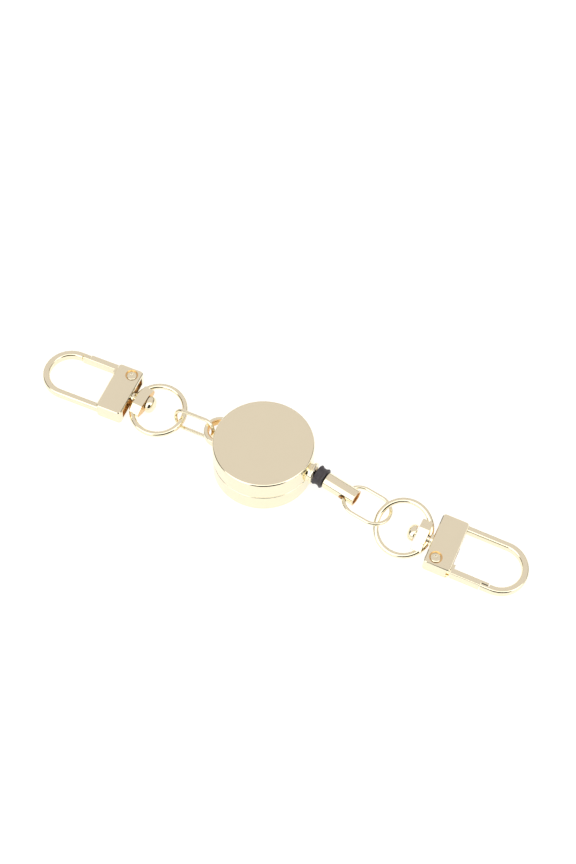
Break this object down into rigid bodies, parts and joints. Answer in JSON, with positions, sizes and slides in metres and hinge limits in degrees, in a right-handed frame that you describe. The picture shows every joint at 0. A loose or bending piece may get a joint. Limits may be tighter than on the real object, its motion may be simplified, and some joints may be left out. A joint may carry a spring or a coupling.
{
  "type": "retractable badge reel",
  "caption": "Round gold metal reel that pays out a sprung cord, with a swivel clasp chained to each side.",
  "frame": {"origin": "centre of the case's flat back face, which rests on the surface", "axes": "+Z out of the case's front face, +X along the way the cord leaves the case"},
  "size_m": [0.1596, 0.03, 0.013],
  "materials": {
    "gold": "polished pale gold plating",
    "rubber": "black rubber, satin",
    "plastic": "off-white moulded plastic",
    "steel": "plain steel",
    "brass": "turned brass",
    "cord": "black braided cord"
  },
  "bodies": {
    "case": {"back_shell": "gold", "front_shell": "gold", "case_loop": "gold", "outlet_nozzle": "gold", "nozzle_bush": "brass", "centre_post": "steel", "post_screw": "steel", "retaining_washer": "steel", "power_spring": "steel", "cord_lead": "cord"},
    "spool": {"spool": "plastic", "spool_plate": "plastic", "spring_cover": "steel", "wound_cord": "cord"},
    "cord_end": {"rubber_collar": "rubber", "cord_bead": "brass"},
    "ferrule": {"ferrule": "gold"},
    "right_link": {"right_link": "gold"},
    "right_ring": {"right_swivel_ring": "gold"},
    "right_clasp": {"right_swivel_pin": "gold", "right_clasp_body": "gold", "right_gate_pin": "gold", "right_gate_spring": "steel"},
    "right_gate": {"right_gate": "gold"},
    "left_link": {"left_link": "gold"},
    "left_ring": {"left_swivel_ring": "gold"},
    "left_clasp": {"left_swivel_pin": "gold", "left_clasp_body": "gold", "left_gate_pin": "gold", "left_gate_spring": "steel"},
    "left_gate": {"left_gate": "gold"}
  },
  "joints": [
    {"name": "cord_pull", "type": "slide", "parent": "case", "child": "cord_end", "axis": [1, 0, 0], "range_m": [0, 0.6], "stiffness_N_per_m": 1, "springref_m": -0.5, "deforming": ["cord_lead"]},
    {"name": "spool_spin", "type": "hinge", "parent": "case", "child": "spool", "pos_m": [0, 0, 0.0064], "axis": [0, 0, 1], "range_deg": [0, 3300], "deforming": ["power_spring"]},
    {"name": "ferrule_swivel", "type": "hinge", "parent": "cord_end", "child": "ferrule", "pos_m": [0.0161, 0.00016, 0.00697], "axis": [0.9812, -0.1836, -0.0593], "continuous": true},
    {"name": "right_link_hinge", "type": "hinge", "parent": "ferrule", "child": "right_link", "pos_m": [0.02748, -0.00197, 0.00628], "axis": [0.1839, 0.9829, 0], "range_deg": [-40, 40]},
    {"name": "right_ring_hinge", "type": "hinge", "parent": "right_link", "child": "right_ring", "pos_m": [0.0396, -0.0052, 0.005], "axis": [0, 0, 1], "range_deg": [-36, 8]},
    {"name": "right_clasp_swivel", "type": "hinge", "parent": "right_ring", "child": "right_clasp", "pos_m": [0.0536, -0.0056, 0.00435], "axis": [0.9957, 0.0174, -0.0906], "continuous": true},
    {"name": "right_gate_hinge", "type": "hinge", "parent": "right_clasp", "child": "right_gate", "pos_m": [0.05885, -0.01135, 0.00357], "axis": [0.0914, -0.0507, 0.9945], "range_deg": [0, 35], "stiffness_Nm_per_rad": 0.02, "springref_deg": -28.65},
    {"name": "left_link_hinge", "type": "hinge", "parent": "case", "child": "left_link", "pos_m": [-0.019, 0.0024, 0.0064], "axis": [0, 1, 0], "range_deg": [-50, 50]},
    {"name": "left_ring_hinge", "type": "hinge", "parent": "left_link", "child": "left_ring", "pos_m": [-0.0284, 0.00275, 0.0026], "axis": [0, 0, 1], "range_deg": [-24, 24]},
    {"name": "left_clasp_swivel", "type": "hinge", "parent": "left_ring", "child": "left_clasp", "pos_m": [-0.0431, 0.0046, 0.00265], "axis": [-1, 0, 0], "continuous": true},
    {"name": "left_gate_hinge", "type": "hinge", "parent": "left_clasp", "child": "left_gate", "pos_m": [-0.0483, 0.01045, 0.00265], "axis": [0, 0, 1], "range_deg": [0, 35], "stiffness_Nm_per_rad": 0.02, "springref_deg": -28.65}
  ],
  "couplings": [
    {"joint": "spool_spin", "follows": "cord_pull", "rad_per_m": 93.46}
  ]
}
